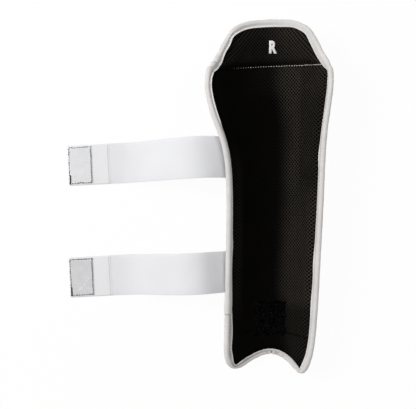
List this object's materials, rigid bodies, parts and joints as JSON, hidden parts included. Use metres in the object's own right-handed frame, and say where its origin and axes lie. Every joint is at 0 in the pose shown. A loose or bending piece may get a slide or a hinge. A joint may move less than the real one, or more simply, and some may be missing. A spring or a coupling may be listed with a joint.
{
  "type": "shin guard",
  "caption": "Curved padded shin guard with a folding knee flap, a bound edge, a dark waffle liner and elastic straps that close with hook patches.",
  "frame": {"origin": "on the flat top of the plate's spine rib, where the guard rests, at mid length of the shin", "axes": "+Y towards the knee, +Z out of the leg side, straps towards -X"},
  "size_m": [0.2467, 0.3291, 0.0461],
  "materials": {
    "cover": "coated white fabric",
    "plate": "satin white",
    "foam": "closed-cell foam",
    "liner": "black waffle mesh",
    "binding": "white tape",
    "white_thread": "thread",
    "black_loop": "brushed loop",
    "elastic": "knitted elastic",
    "tab": "folded fabric",
    "hook": "moulded hooks",
    "dark_thread": "thread",
    "loop": "brushed loop"
  },
  "bodies": {
    "shin": {"shin_cover": "cover", "shin_plate": "plate", "shin_foam": "foam", "shin_liner": "liner", "shin_binding": "binding", "fold_stitch": "white_thread", "liner_loop_patch": "black_loop", "upper_strap_anchor": "elastic", "lower_strap_anchor": "elastic", "upper_loop_pad": "loop", "lower_loop_pad": "loop"},
    "knee_flap": {"knee_cover": "cover", "knee_plate": "plate", "knee_foam": "foam", "knee_liner": "liner", "knee_binding": "binding"},
    "upper_strap": {"upper_strap_band": "elastic"},
    "upper_tab": {"upper_strap_tab": "tab", "upper_hook_patch": "hook", "upper_hook_stitch": "dark_thread"},
    "lower_strap": {"lower_strap_band": "elastic"},
    "lower_tab": {"lower_strap_tab": "tab", "lower_hook_patch": "hook", "lower_hook_stitch": "dark_thread"}
  },
  "joints": [
    {"name": "knee_flap_fold", "type": "hinge", "parent": "shin", "child": "knee_flap", "pos_m": [0, 0.1312, 0.0051], "axis": [1, 0, 0], "range_deg": [-20, 0], "stiffness_Nm_per_rad": 0.2, "springref_deg": 2.29},
    {"name": "upper_strap_swing", "type": "hinge", "parent": "shin", "child": "upper_strap", "pos_m": [-0.061, 0.0436, 0.036], "axis": [-0.0523, 0.9986, 0], "range_deg": [0, 110]},
    {"name": "upper_tab_fold", "type": "hinge", "parent": "upper_strap", "child": "upper_tab", "pos_m": [-0.15527, 0.03866, 0.0018], "axis": [-0.0523, 0.9986, 0], "range_deg": [0, 75]},
    {"name": "lower_strap_swing", "type": "hinge", "parent": "shin", "child": "lower_strap", "pos_m": [-0.055, -0.0621, 0.0305], "axis": [-0.0523, 0.9986, 0], "range_deg": [0, 110]},
    {"name": "lower_tab_fold", "type": "hinge", "parent": "lower_strap", "child": "lower_tab", "pos_m": [-0.15396, -0.06729, 0.0018], "axis": [-0.0523, 0.9986, 0], "range_deg": [0, 75]}
  ]
}
